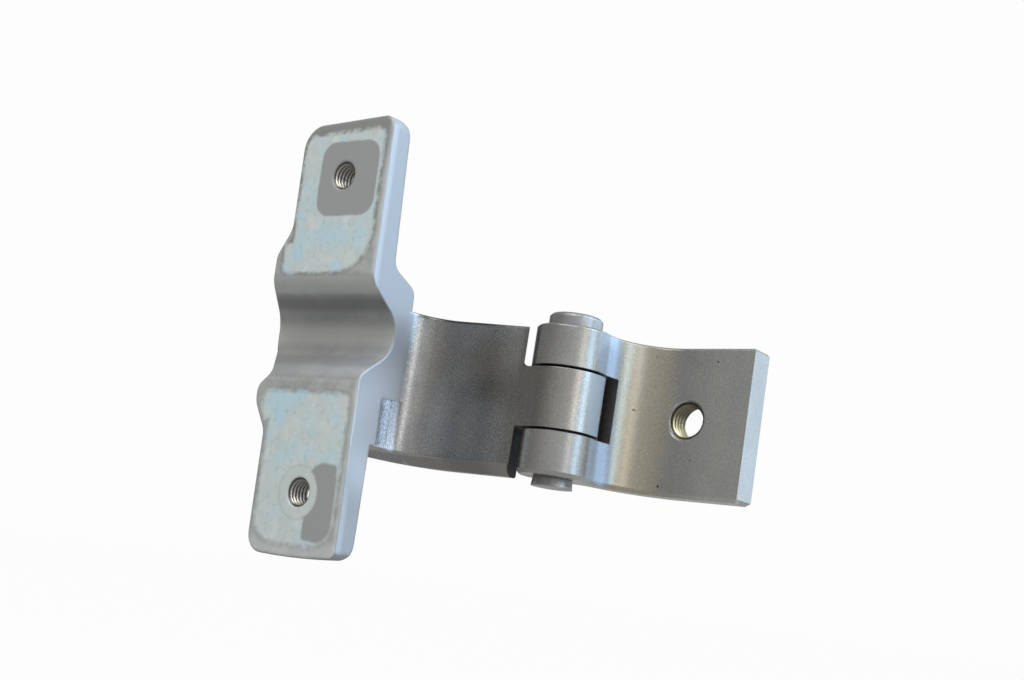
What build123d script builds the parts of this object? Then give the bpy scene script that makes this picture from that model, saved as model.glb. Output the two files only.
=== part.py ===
from build123d import *
import math
import os

# Forged two-leaf door hinge, millimetres.
# X points from the mounting face into the part, Z runs along its two threaded holes, Y runs across the pad.
# The origin lies on the mounting face, midway between those holes.
# Arm, knuckle, pin and leaf are drawn with the pin upright and then lean with it.

# Mounting pad
HOLE_SPACING = 90.0
PAD_TOP_MARGIN = 17.0
PAD_TOP_FALL = 1.9
PAD_BOTTOM_MARGIN = 17.9
PAD_BOTTOM_RISE_NEAR = 1.0
PAD_BOTTOM_RISE_FAR = 0.5
PAD_NEAR_SIDE = 16.5
PAD_FAR_SIDE = 17.5
PAD_THICKNESS = 8.3
PAD_END_THINNING = 1.2
PAD_END_ROUNDING = 6.0
PAD_FAR_TOP_CORNER_RADIUS = 7.2
PAD_FAR_BOTTOM_CORNER_RADIUS = 5.5
PAD_NEAR_TOP_CORNER_RADIUS = 3.5
PAD_NEAR_BOTTOM_CORNER_RADIUS = 2.5
PAD_FRONT_CHAMFER = 0.4
PAD_THREAD_DIAMETER = 8.0

# Trough across the pad and the bulge behind it
TROUGH_DEPTH = 12.2
TROUGH_RADIUS = 8.5
TROUGH_CENTRE_HEIGHT = 1.0
TROUGH_MOUTH_ABOVE = 13.6
TROUGH_MOUTH_BELOW = 12.8
TROUGH_UPPER_LIP_RADIUS = 6.0
TROUGH_LOWER_LIP_RADIUS = 5.0
TROUGH_WALL = 5.9
BULGE_TOP_ABOVE_TROUGH = 14.2
BULGE_BOTTOM_BELOW_TROUGH = 14.6
BULGE_SHOULDER_RISE = 5.0
BULGE_INNER_RADIUS = 4.0
BULGE_OUTER_RADIUS = 3.5

# Swelling of the pad's far side beside the trough
LOBE_WIDTH = 4.8
LOBE_TOP = 22.0
LOBE_BOTTOM = 20.5
LOBE_RUN_OUT = 8.0
LOBE_FLARE = 6.7
LOBE_BLEND_RADIUS = 6.0
LOBE_DIP_TOP = -4.0
LOBE_DIP_BOTTOM = -11.9
LOBE_DIP_RUN_OUT = 4.0
LOBE_DIP_AT_FRONT = 4.9
LOBE_DIP_AT_BACK = 0.5
LOBE_DIP_RADIUS = 4.0

# Hinge axis and knuckle
AXIS_X = 26.3
AXIS_Y = -66.65
AXIS_LEAN_ANGLE = 3.0
KNUCKLE_RADIUS = 10.1
KNUCKLE_HEIGHT = 16.0
KNUCKLE_CENTRE_HEIGHT = -13.4

# Curved arm between the pad and the knuckle
ARM_THICKNESS = 8.0
ARM_ROOT_LENGTH = 7.0
ARM_FIRST_BEND_RADIUS = 7.5
ARM_FIRST_BEND_TURN = 70.0
ARM_SECOND_BEND_RADIUS = 15.0
ARM_TOP_AT_PAD = 9.05
ARM_TOP_AT_KNUCKLE = 5.8
ARM_BOTTOM_AT_PAD = -33.5
ARM_BOTTOM_AT_KNUCKLE = -34.5
ARM_KNUCKLE_FILLET = 5.0
ARM_EDGE_RADIUS = 0.8
ARM_LOWER_BEVEL_HEIGHT = 3.0
ARM_LOWER_BEVEL_DEPTH = 5.0
SHOULDER_CLEARANCE = 2.1
SHOULDER_RELIEF_ANGLE = 42.0
SHOULDER_CORNER_RADIUS = 1.2

# Clevis leaf
EAR_HEIGHT = 39.9
LEAF_TOP_RISE = 0.8
LEAF_THICKNESS = 7.9
LEAF_NECK_RADIUS = 14.0
LEAF_OFFSET = 18.9
LEAF_DROP = 0.2
LEAF_LENGTH = 44.45
LEAF_HOLE_FROM_END = 18.0
LEAF_HOLE_RISE = 0.75
LEAF_THREAD_DIAMETER = 10.0
LEAF_THREAD_MOUTH_CHAMFER = 0.6
LEAF_BACK_FILLET = 5.0
LEAF_TOP_CHAMFER = 0.5
LEAF_BOTTOM_CHAMFER = 1.0
SLOT_CLEARANCE = 3.3

# Pin and bushes
PIN_DIAMETER = 9.0
PIN_HEAD_DIAMETER = 14.5
PIN_HEAD_HEIGHT = 3.8
PIN_HEAD_CHAMFER = 0.7
PIN_STAKE_LENGTH = 2.5
PIN_STAKE_DIAMETER = 11.1
PIN_STAKE_NECK_DIAMETER = 10.5
BUSH_WALL = 1.0
BUSH_SEPARATION = 1.0
BUSH_FLANGE_DIAMETER = 16.0
BUSH_FLANGE_THICKNESS = 0.6
BUSH_RUNNING_CLEARANCE = 0.03
BUSH_AXIAL_PLAY = 0.05

# Small chamfer at the mouth of each of the pad's threads, and how far a cutter stands out of what it cuts
PAD_THREAD_MOUTH_CHAMFER = 0.3
CUTTER_OVERRUN = 1.0
HALF_TURN = 180.0

# Derived places
PAD_TOP = HOLE_SPACING / 2 + PAD_TOP_MARGIN
PAD_BOTTOM = -HOLE_SPACING / 2 - PAD_BOTTOM_MARGIN
PAD_BACK_AT_END = PAD_THICKNESS - PAD_END_THINNING
BULGE_BACK = TROUGH_DEPTH + TROUGH_WALL
AXIS = Vector(AXIS_X, AXIS_Y, 0)
KNUCKLE_TOP = KNUCKLE_CENTRE_HEIGHT + KNUCKLE_HEIGHT / 2
KNUCKLE_BOTTOM = KNUCKLE_CENTRE_HEIGHT - KNUCKLE_HEIGHT / 2
EAR_GAP = BUSH_FLANGE_THICKNESS + BUSH_AXIAL_PLAY
UPPER_EAR_FACE = KNUCKLE_TOP + EAR_GAP
LOWER_EAR_FACE = KNUCKLE_BOTTOM - EAR_GAP
LEAF_CENTRE_HEIGHT = KNUCKLE_CENTRE_HEIGHT - LEAF_DROP
EAR_TOP = LEAF_CENTRE_HEIGHT + EAR_HEIGHT / 2
EAR_BOTTOM = LEAF_CENTRE_HEIGHT - EAR_HEIGHT / 2
BUSH_LENGTH = (KNUCKLE_HEIGHT - BUSH_SEPARATION) / 2
BUSH_OUTER_DIAMETER = PIN_DIAMETER + 2 * (BUSH_RUNNING_CLEARANCE + BUSH_WALL)
SHOULDER_RADIUS = KNUCKLE_RADIUS + SHOULDER_CLEARANCE
SLOT_RADIUS = KNUCKLE_RADIUS + SLOT_CLEARANCE
LEAF_FRONT = AXIS_X + LEAF_OFFSET
LEAF_BACK = LEAF_FRONT + LEAF_THICKNESS
LEAF_END = AXIS_Y - LEAF_LENGTH
KNUCKLE_PLACE = Pos(AXIS_X, AXIS_Y, KNUCKLE_CENTRE_HEIGHT)
LEAN = KNUCKLE_PLACE * Rot(0, AXIS_LEAN_ANGLE, 0) * KNUCKLE_PLACE.inverse()


def on_circle(centre, radius, angle):
    """Point of a plan circle at an angle in degrees."""
    turn = math.radians(angle)
    return Vector(centre.X + radius * math.cos(turn), centre.Y + radius * math.sin(turn), 0)


def arc(centre, radius, start, end):
    """Plan arc from one angle to another, in degrees."""
    middle = (start + end) / 2
    return ThreePointArc(
        on_circle(centre, radius, start),
        on_circle(centre, radius, middle),
        on_circle(centre, radius, end),
    )


def trough_section():
    """Open section of the trough along Y: its two sharp lips and the edges that join them."""
    centre = Vector(TROUGH_DEPTH - TROUGH_RADIUS, TROUGH_CENTRE_HEIGHT)
    top_lip = Vector(0, TROUGH_CENTRE_HEIGHT + TROUGH_MOUTH_ABOVE)
    bottom_lip = Vector(0, TROUGH_CENTRE_HEIGHT - TROUGH_MOUTH_BELOW)
    upper_wall, upper_heading = trough_tangent(centre, top_lip, 1)
    lower_wall, lower_heading = trough_tangent(centre, bottom_lip, -1)
    edges = Line(bottom_lip, lower_wall)
    edges += arc(centre, TROUGH_RADIUS, lower_heading, upper_heading)
    edges += Line(upper_wall, top_lip)
    return top_lip, bottom_lip, edges


def pad_side_profile():
    """Section of the pad seen along Y: plate, trough in front, bulge behind."""
    top_lip, bottom_lip, trough = trough_section()
    bulge_top = TROUGH_CENTRE_HEIGHT + BULGE_TOP_ABOVE_TROUGH
    bulge_bottom = TROUGH_CENTRE_HEIGHT - BULGE_BOTTOM_BELOW_TROUGH
    outer = [
        Vector(0, PAD_TOP),
        Vector(PAD_BACK_AT_END, PAD_TOP),
        Vector(PAD_THICKNESS, bulge_top + BULGE_SHOULDER_RISE),
        Vector(BULGE_BACK, bulge_top),
        Vector(BULGE_BACK, bulge_bottom),
        Vector(PAD_THICKNESS, bulge_bottom - BULGE_SHOULDER_RISE),
        Vector(PAD_BACK_AT_END, PAD_BOTTOM),
        Vector(0, PAD_BOTTOM),
    ]
    profile = make_face(Polyline(top_lip, *outer, bottom_lip) + trough)
    profile = round_corner(profile, top_lip, TROUGH_UPPER_LIP_RADIUS)
    profile = round_corner(profile, bottom_lip, TROUGH_LOWER_LIP_RADIUS)
    for corner in (outer[1], outer[6]):
        profile = round_corner(profile, corner, PAD_END_ROUNDING)
    for corner in (outer[2], outer[5]):
        profile = round_corner(profile, corner, BULGE_INNER_RADIUS)
    for corner in (outer[3], outer[4]):
        profile = round_corner(profile, corner, BULGE_OUTER_RADIUS)
    return profile


def trough_tangent(centre, lip, side):
    """Point and angle where the straight wall from a lip touches the round bottom of the trough."""
    away = lip - centre
    lean = math.degrees(math.acos(TROUGH_RADIUS / away.length))
    heading = math.degrees(math.atan2(away.Y, away.X)) - side * lean
    return on_circle(centre, TROUGH_RADIUS, heading), heading


def round_corner(sketch, corner, radius):
    """Fillet the vertex of a flat profile that lies nearest to a point."""
    vertex = min(sketch.vertices(), key=lambda v: (v.center() - corner).length)
    return fillet(vertex, radius)


def pad_front_outline(lobe, dip):
    """The pad seen along X (Y, Z), its far side swollen by lobe and drawn in at the lower lip by dip."""
    far = PAD_FAR_SIDE
    near_bottom = Vector(-PAD_NEAR_SIDE, PAD_BOTTOM + PAD_BOTTOM_RISE_NEAR)
    far_bottom = Vector(far, PAD_BOTTOM + PAD_BOTTOM_RISE_FAR)
    far_top = Vector(far, PAD_TOP - PAD_TOP_FALL)
    near_top = Vector(-PAD_NEAR_SIDE, PAD_TOP)
    swelling = [
        Vector(far, -LOBE_BOTTOM - LOBE_RUN_OUT),
        Vector(far + lobe, -LOBE_BOTTOM),
        Vector(far + lobe, LOBE_TOP),
        Vector(far, LOBE_TOP + LOBE_RUN_OUT),
    ]
    draw_in = [
        Vector(far + lobe, LOBE_DIP_BOTTOM - LOBE_DIP_RUN_OUT),
        Vector(far + lobe - dip, LOBE_DIP_BOTTOM),
        Vector(far + lobe - dip, LOBE_DIP_TOP),
        Vector(far + lobe, LOBE_DIP_TOP + LOBE_DIP_RUN_OUT),
    ]
    far_side = swelling[:2] + draw_in + swelling[2:]
    edges = ThreePointArc(near_bottom, Vector(0, PAD_BOTTOM), far_bottom)
    edges += Polyline(far_bottom, *far_side, far_top, near_top, near_bottom)
    outline = make_face(edges)
    outline = round_corner(outline, far_top, PAD_FAR_TOP_CORNER_RADIUS)
    outline = round_corner(outline, far_bottom, PAD_FAR_BOTTOM_CORNER_RADIUS)
    outline = round_corner(outline, near_top, PAD_NEAR_TOP_CORNER_RADIUS)
    outline = round_corner(outline, near_bottom, PAD_NEAR_BOTTOM_CORNER_RADIUS)
    for corner in swelling:
        outline = round_corner(outline, corner, LOBE_BLEND_RADIUS)
    for corner in draw_in:
        outline = round_corner(outline, corner, LOBE_DIP_RADIUS)
    return outline


def pad_plate():
    """The pad with its trough and bulge, without holes."""
    width = PAD_NEAR_SIDE + PAD_FAR_SIDE + LOBE_WIDTH + LOBE_FLARE
    section_plane = Plane(origin=(0, -PAD_NEAR_SIDE, 0), x_dir=(1, 0, 0), z_dir=(0, -1, 0))
    ribbon = extrude(section_plane * pad_side_profile(), amount=-width)
    front_plane = Plane(origin=(0, 0, 0), x_dir=(0, 1, 0), z_dir=(1, 0, 0))
    front_outline = pad_front_outline(LOBE_WIDTH, LOBE_DIP_AT_FRONT)
    back_outline = pad_front_outline(LOBE_WIDTH + LOBE_FLARE, LOBE_DIP_AT_BACK)
    face = front_plane * offset(front_outline, -PAD_FRONT_CHAMFER)
    narrow = front_plane.offset(PAD_FRONT_CHAMFER) * front_outline
    wide = front_plane.offset(TROUGH_DEPTH) * back_outline
    outline = loft([face, narrow], ruled=True) + loft([narrow, wide], ruled=True)
    return ribbon & (outline + extrude(wide, amount=TROUGH_WALL))


def arm_centres():
    """Bend centres of the arm's front face and the direction of its straight run."""
    first = Vector(PAD_THICKNESS + ARM_ROOT_LENGTH, -PAD_NEAR_SIDE - ARM_FIRST_BEND_RADIUS)
    first_end = 90 - ARM_FIRST_BEND_TURN
    joint = on_circle(first, ARM_FIRST_BEND_RADIUS, first_end)
    second = on_circle(joint, -ARM_SECOND_BEND_RADIUS, first_end)
    away = AXIS - second
    lean = math.asin((ARM_SECOND_BEND_RADIUS + KNUCKLE_RADIUS) / away.length)
    heading = math.degrees(math.atan2(away.Y, away.X) - lean)
    return first, first_end, second, heading + 90


def arm_plan():
    """The arm seen from above: a strip of one thickness, bent twice, tangent to the knuckle's front."""
    first, first_end, second, second_end = arm_centres()
    inner = ARM_FIRST_BEND_RADIUS
    outer = inner + ARM_THICKNESS
    next_inner = ARM_SECOND_BEND_RADIUS
    next_outer = next_inner + ARM_THICKNESS
    root = PAD_THICKNESS / 2
    flare = Vector(first.X, first.Y + outer + ARM_ROOT_LENGTH)
    touch = on_circle(AXIS, KNUCKLE_RADIUS, second_end + HALF_TURN)
    inside = on_circle(AXIS, KNUCKLE_RADIUS - ARM_THICKNESS, second_end + HALF_TURN)
    edges = Line((root, first.Y + inner), on_circle(first, inner, 90))
    edges += arc(first, inner, 90, first_end)
    edges += arc(second, next_inner, first_end, second_end)
    edges += Line(on_circle(second, next_inner, second_end), touch)
    edges += Line(touch, inside)
    edges += Line(inside, on_circle(second, next_outer, second_end))
    edges += arc(second, next_outer, second_end, first_end)
    edges += arc(first, outer, first_end, 90)
    edges += arc(flare, ARM_ROOT_LENGTH, -90, -HALF_TURN)
    edges += Line(on_circle(flare, ARM_ROOT_LENGTH, HALF_TURN), (root, flare.Y))
    edges += Line((root, flare.Y), (root, first.Y + inner))
    return make_face(edges)


def trough_void():
    """Open space of the trough, kept clear of the arm's root."""
    top_lip, bottom_lip, trough = trough_section()
    width = PAD_NEAR_SIDE + PAD_FAR_SIDE + CUTTER_OVERRUN
    start = -PAD_NEAR_SIDE - CUTTER_OVERRUN
    section_plane = Plane(origin=(0, start, 0), x_dir=(1, 0, 0), z_dir=(0, -1, 0))
    return extrude(section_plane * make_face(Line(top_lip, bottom_lip) + trough), amount=-width)


def arm_side_outline():
    """The arm seen along X: its top and bottom edges fall gently towards the knuckle (Y, Z)."""
    pad_end = -PAD_NEAR_SIDE + ARM_THICKNESS + ARM_ROOT_LENGTH
    run = (AXIS_Y + SHOULDER_RADIUS) + PAD_NEAR_SIDE
    top_slope = (ARM_TOP_AT_KNUCKLE - ARM_TOP_AT_PAD) / run
    bottom_slope = (ARM_BOTTOM_AT_KNUCKLE - ARM_BOTTOM_AT_PAD) / run
    knuckle_end = AXIS_Y - KNUCKLE_RADIUS
    rows = []
    for side in (pad_end, knuckle_end):
        along = side + PAD_NEAR_SIDE
        rows.append((side, ARM_TOP_AT_PAD + top_slope * along, ARM_BOTTOM_AT_PAD + bottom_slope * along))
    (a, a_top, a_low), (b, b_top, b_low) = rows
    return make_face(Polyline((a, a_top), (a, a_low), (b, b_low), (b, b_top), close=True))


def build_arm():
    """Arm with its sloping top and bottom edges, still running into the hinge axis."""
    tall = PAD_TOP - PAD_BOTTOM
    deep = AXIS_X + KNUCKLE_RADIUS + ARM_THICKNESS + ARM_SECOND_BEND_RADIUS
    strip = extrude(Plane.XY.offset(-tall / 2) * arm_plan(), amount=tall)
    side_plane = Plane(origin=(0, 0, 0), x_dir=(0, 1, 0), z_dir=(1, 0, 0))
    band = extrude(side_plane * arm_side_outline(), amount=deep)
    arm = strip & band
    underside = arm.faces().sort_by(Axis.Z)[0]
    front = [edge for edge in underside.edges() if lies_on_front(edge)]
    arm = chamfer(front, ARM_LOWER_BEVEL_DEPTH, ARM_LOWER_BEVEL_HEIGHT, reference=underside)
    arm = fillet(long_edges(arm.faces().sort_by(Axis.Z)[-1]), ARM_EDGE_RADIUS)
    arm = fillet(long_edges(arm.faces().sort_by(Axis.Z)[0]), ARM_EDGE_RADIUS)
    return LEAN * arm - trough_void()


def lies_on_front(edge):
    """Whether an edge of the arm's underside runs along its front face."""
    first, _, second, _ = arm_centres()
    middle = edge @ 0.5
    flat = Vector(middle.X, middle.Y)
    if flat.Y > first.Y and flat.X > first.X:
        return (flat - first).length < ARM_FIRST_BEND_RADIUS + ARM_THICKNESS / 2
    if flat.X <= first.X and flat.Y > -PAD_NEAR_SIDE - ARM_THICKNESS / 2:
        return abs(flat.Y + PAD_NEAR_SIDE) < ARM_EDGE_RADIUS
    if (flat - second).length < ARM_SECOND_BEND_RADIUS + ARM_EDGE_RADIUS:
        return True
    return distance_from_front_line(flat) < ARM_EDGE_RADIUS


def distance_from_front_line(point):
    """Distance of a plan point from the arm's straight front face."""
    _, _, second, second_end = arm_centres()
    start = on_circle(second, ARM_SECOND_BEND_RADIUS, second_end)
    turn = math.radians(second_end)
    outward = Vector(math.cos(turn), math.sin(turn))
    return abs((point - start).dot(outward))


def long_edges(face):
    """Edges of the arm's top or bottom face that run along it, without those inside the pad or knuckle."""
    root = PAD_THICKNESS / 2 + ARM_EDGE_RADIUS
    knuckle = AXIS_Y + KNUCKLE_RADIUS
    chosen = []
    for edge in face.edges():
        middle = edge @ 0.5
        if middle.X > root and middle.Y > knuckle:
            chosen.append(edge)
    return chosen


def build_knuckle():
    """Centre knuckle, blended into the back of the arm."""
    plan = arm_plan() + Pos(AXIS_X, AXIS_Y) * Circle(KNUCKLE_RADIUS)
    _, _, _, second_end = arm_centres()
    across = math.degrees(math.acos((KNUCKLE_RADIUS - ARM_THICKNESS) / KNUCKLE_RADIUS))
    crease = on_circle(AXIS, KNUCKLE_RADIUS, second_end + HALF_TURN - across)
    plan = round_corner(plan, crease, ARM_KNUCKLE_FILLET)
    block = extrude(Plane.XY.offset(KNUCKLE_BOTTOM) * plan, amount=KNUCKLE_HEIGHT)
    return LEAN * block - trough_void()


def shoulder_cut(low, high, relieved):
    """Room for one ear beside the knuckle, opened along the arm's back where it is relieved."""
    room = Cylinder(SHOULDER_RADIUS, high - low, align=(Align.CENTER, Align.CENTER, Align.MIN))
    room = Pos(AXIS_X, AXIS_Y, low) * room
    if not relieved:
        return LEAN * room
    _, _, _, second_end = arm_centres()
    front_corner = math.degrees(math.acos(KNUCKLE_RADIUS / SHOULDER_RADIUS))
    corner = on_circle(AXIS, SHOULDER_RADIUS, second_end + HALF_TURN - front_corner)
    reach = SHOULDER_RADIUS + 2 * ARM_THICKNESS
    wedge = Box(reach, reach, high - low, align=(Align.MIN, Align.MAX, Align.MIN))
    room += Pos(corner.X, corner.Y, low) * Rot(0, 0, SHOULDER_RELIEF_ANGLE) * wedge
    room = fillet(room.faces().sort_by(Axis.Z)[0].edges(), SHOULDER_CORNER_RADIUS)
    return LEAN * room


def threaded_bore(diameter, depth, opening, mouth):
    """Cutter for a threaded through hole along X, its mouth opened by a chamfer."""
    bore = Cylinder(diameter / 2, depth * 2)
    cone = Cone(diameter / 2, diameter / 2 + opening, opening)
    cone = Pos(0, 0, -opening / 2) * cone
    return mouth * Rot(0, -90, 0) * (bore + cone)


def build_pad_bracket():
    """Mounting pad, arm and centre knuckle in one forging."""
    body = pad_plate() + build_arm()
    body -= shoulder_cut(KNUCKLE_TOP, PAD_TOP, True)
    body -= shoulder_cut(PAD_BOTTOM, KNUCKLE_BOTTOM, False)
    body += build_knuckle()
    bore = Cylinder(BUSH_OUTER_DIAMETER / 2, KNUCKLE_HEIGHT * 2)
    body -= LEAN * KNUCKLE_PLACE * bore
    for height in (HOLE_SPACING / 2, -HOLE_SPACING / 2):
        mouth = Pos(0, 0, height)
        body -= threaded_bore(PAD_THREAD_DIAMETER, PAD_THICKNESS * 2, PAD_THREAD_MOUTH_CHAMFER, mouth)
    return body


def leaf_plan():
    """The leaf seen from above: round ear, neck curving back, flat end."""
    neck_x = LEAF_FRONT - LEAF_NECK_RADIUS
    reach = KNUCKLE_RADIUS + LEAF_NECK_RADIUS
    neck = Vector(neck_x, AXIS_Y - math.sqrt(reach ** 2 - (neck_x - AXIS_X) ** 2))
    away = AXIS - neck
    touch = math.degrees(math.atan2(away.Y, away.X))
    outer = LEAF_NECK_RADIUS + LEAF_THICKNESS
    edges = Line((LEAF_FRONT, LEAF_END), on_circle(neck, LEAF_NECK_RADIUS, 0))
    edges += arc(neck, LEAF_NECK_RADIUS, 0, touch)
    edges += Line(on_circle(neck, LEAF_NECK_RADIUS, touch), on_circle(neck, outer, touch))
    edges += arc(neck, outer, touch, 0)
    edges += Line(on_circle(neck, outer, 0), (LEAF_BACK, LEAF_END))
    edges += Line((LEAF_BACK, LEAF_END), (LEAF_FRONT, LEAF_END))
    plan = make_face(edges) + Pos(AXIS_X, AXIS_Y) * Circle(KNUCKLE_RADIUS)
    meeting = (KNUCKLE_RADIUS ** 2 + reach ** 2 - outer ** 2) / (2 * KNUCKLE_RADIUS * reach)
    crease = on_circle(AXIS, KNUCKLE_RADIUS, touch - HALF_TURN + math.degrees(math.acos(meeting)))
    return round_corner(plan, crease, LEAF_BACK_FILLET)


def leaf_side_outline():
    """The leaf seen along X (Y, Z): level over its ears, its top edge rising towards the flat end."""
    near = AXIS_Y + KNUCKLE_RADIUS
    neck = AXIS_Y - KNUCKLE_RADIUS
    return make_face(
        Polyline(
            (near, EAR_BOTTOM),
            (near, EAR_TOP),
            (neck, EAR_TOP),
            (LEAF_END, EAR_TOP + LEAF_TOP_RISE),
            (LEAF_END, EAR_BOTTOM),
            close=True,
        )
    )


def upper_rim(body):
    """Edges round the leaf's level and rising top faces, without the line where the two meet."""
    neck = AXIS_Y - KNUCKLE_RADIUS
    rims = []
    for edge in body.edges():
        box = edge.bounding_box()
        across = box.size.Y < LEAF_TOP_CHAMFER and abs(box.center().Y - neck) < LEAF_TOP_CHAMFER
        if box.min.Z > EAR_TOP - LEAF_TOP_CHAMFER and not across:
            rims.append(edge)
    return rims


def build_clevis_leaf():
    """Two ears, neck and flat end in one forging."""
    tall = EAR_HEIGHT + 2 * LEAF_TOP_RISE
    body = extrude(Plane.XY.offset(EAR_BOTTOM) * leaf_plan(), amount=tall)
    side_plane = Plane(origin=(0, 0, 0), x_dir=(0, 1, 0), z_dir=(1, 0, 0))
    body &= extrude(side_plane * leaf_side_outline(), amount=LEAF_BACK + KNUCKLE_RADIUS)
    body = chamfer(body.faces().sort_by(Axis.Z)[0].edges(), LEAF_BOTTOM_CHAMFER)
    body = chamfer(upper_rim(body), LEAF_TOP_CHAMFER)
    tall_slot = UPPER_EAR_FACE - LOWER_EAR_FACE
    slot = Cylinder(SLOT_RADIUS, tall_slot, align=(Align.CENTER, Align.CENTER, Align.MIN))
    body -= Pos(AXIS_X, AXIS_Y, LOWER_EAR_FACE) * slot
    body -= KNUCKLE_PLACE * Cylinder(PIN_DIAMETER / 2, EAR_HEIGHT * 2)
    mouth = Pos(LEAF_FRONT, LEAF_END + LEAF_HOLE_FROM_END, LEAF_CENTRE_HEIGHT + LEAF_HOLE_RISE)
    body -= threaded_bore(LEAF_THREAD_DIAMETER, LEAF_THICKNESS * 2, LEAF_THREAD_MOUTH_CHAMFER, mouth)
    return LEAN * body


def build_hinge_pin():
    """Headed pin with its lower end spread over the ear."""
    radius = PIN_DIAMETER / 2
    head = PIN_HEAD_DIAMETER / 2
    top = EAR_TOP + PIN_HEAD_HEIGHT
    foot = EAR_BOTTOM - PIN_STAKE_LENGTH
    half = make_face(
        Polyline(
            (0, top),
            (head - PIN_HEAD_CHAMFER, top),
            (head, top - PIN_HEAD_CHAMFER),
            (head, EAR_TOP),
            (radius, EAR_TOP),
            (radius, EAR_BOTTOM),
            (PIN_STAKE_NECK_DIAMETER / 2, EAR_BOTTOM),
            (PIN_STAKE_DIAMETER / 2, foot),
            (0, foot),
            close=True,
        )
    )
    return LEAN * Pos(AXIS_X, AXIS_Y, 0) * revolve(Plane.XZ * half, Axis.Z)


def build_bush(top):
    """Flanged plain bush; the flange bears on the top or the bottom face of the knuckle."""
    bore = PIN_DIAMETER / 2 + BUSH_RUNNING_CLEARANCE
    outer = BUSH_OUTER_DIAMETER / 2
    flange = BUSH_FLANGE_DIAMETER / 2
    half = make_face(
        Polyline(
            (bore, BUSH_FLANGE_THICKNESS),
            (flange, BUSH_FLANGE_THICKNESS),
            (flange, 0),
            (outer, 0),
            (outer, -BUSH_LENGTH),
            (bore, -BUSH_LENGTH),
            close=True,
        )
    )
    bush = revolve(Plane.XZ * half, Axis.Z)
    if top:
        return LEAN * Pos(AXIS_X, AXIS_Y, KNUCKLE_TOP) * bush
    return LEAN * Pos(AXIS_X, AXIS_Y, KNUCKLE_BOTTOM) * Rot(HALF_TURN, 0, 0) * bush


def main():
    """Write every piece as a STEP file named after it."""
    os.makedirs("parts", exist_ok=True)
    pieces = {
        "pad_bracket": build_pad_bracket(),
        "clevis_leaf": build_clevis_leaf(),
        "hinge_pin": build_hinge_pin(),
        "bush_upper": build_bush(True),
        "bush_lower": build_bush(False),
    }
    for name, piece in pieces.items():
        export_step(piece, f"parts/{name}.step")


main()
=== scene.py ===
"""Looks of a forged two-leaf door hinge: coats, bare primer lands, cut threads, studio and camera."""

import logging
import math
from dataclasses import dataclass
from enum import Enum
from functools import reduce

import bpy
from mathutils import Color, Matrix, Vector


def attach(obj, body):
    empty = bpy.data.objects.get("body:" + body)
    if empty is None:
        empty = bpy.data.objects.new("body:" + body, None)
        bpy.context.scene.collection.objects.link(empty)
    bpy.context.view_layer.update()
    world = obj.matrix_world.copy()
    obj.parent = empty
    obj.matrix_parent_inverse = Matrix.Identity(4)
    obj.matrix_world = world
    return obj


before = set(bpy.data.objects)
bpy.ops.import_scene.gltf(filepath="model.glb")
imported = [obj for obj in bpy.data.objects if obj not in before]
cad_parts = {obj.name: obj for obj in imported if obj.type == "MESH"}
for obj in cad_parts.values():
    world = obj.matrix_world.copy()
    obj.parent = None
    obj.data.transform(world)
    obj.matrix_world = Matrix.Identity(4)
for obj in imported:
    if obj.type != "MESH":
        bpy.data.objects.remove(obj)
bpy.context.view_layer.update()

MM = 0.001
LOG = logging.getLogger("hinge")

KNUCKLE_MIDDLE_MM = (26.3, -66.65, -13.4)
AXIS_LEAN_DEG = 3.0
SEEN_RAYS = ("Is Camera Ray", "Is Glossy Ray", "Is Transmission Ray")
NOISE_LEVELS = (0.3, 0.7)
EDGE_SAMPLES = 6

Span = tuple[float, float]
Triple = tuple[float, float, float]
Colour = Triple
Socket = bpy.types.NodeSocket


def from_screen(red: int, green: int, blue: int) -> Colour:
    """Linear colour of three 8-bit screen levels."""
    return tuple(Color((red / 255, green / 255, blue / 255)).from_srgb_to_scene_linear())


class Body(Enum):
    """The two rigid bodies of the hinge."""

    BRACKET = "bracket"
    LEAF = "leaf"


class Axis(Enum):
    """Axes of the shared frame."""

    X = 0
    Y = 1
    Z = 2


X, Y, Z = Axis


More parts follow.
